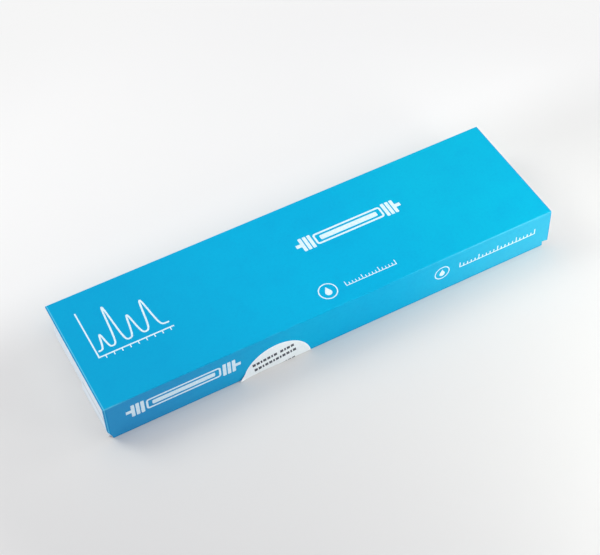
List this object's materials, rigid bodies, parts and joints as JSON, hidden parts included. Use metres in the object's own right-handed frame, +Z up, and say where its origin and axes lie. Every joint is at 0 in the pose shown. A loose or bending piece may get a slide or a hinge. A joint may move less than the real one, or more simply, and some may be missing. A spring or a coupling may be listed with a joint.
{
  "type": "column carton",
  "caption": "Long flat card box: a folded cover closed over a white tray, held by a round paper seal creased round the flap's lower edge.",
  "frame": {"origin": "on the resting plane, under the middle of the closed carton", "axes": "+X along the carton from the seal's end to the plain end, -Y out of the front flap, +Z up"},
  "size_m": [0.33, 0.0942, 0.0325],
  "materials": {
    "printed_board": "satin",
    "white_board": "matte",
    "seal_paper": "satin"
  },
  "bodies": {
    "root": {"cover": "printed_board", "tray": "white_board", "seal": "seal_paper"}
  },
  "joints": []
}
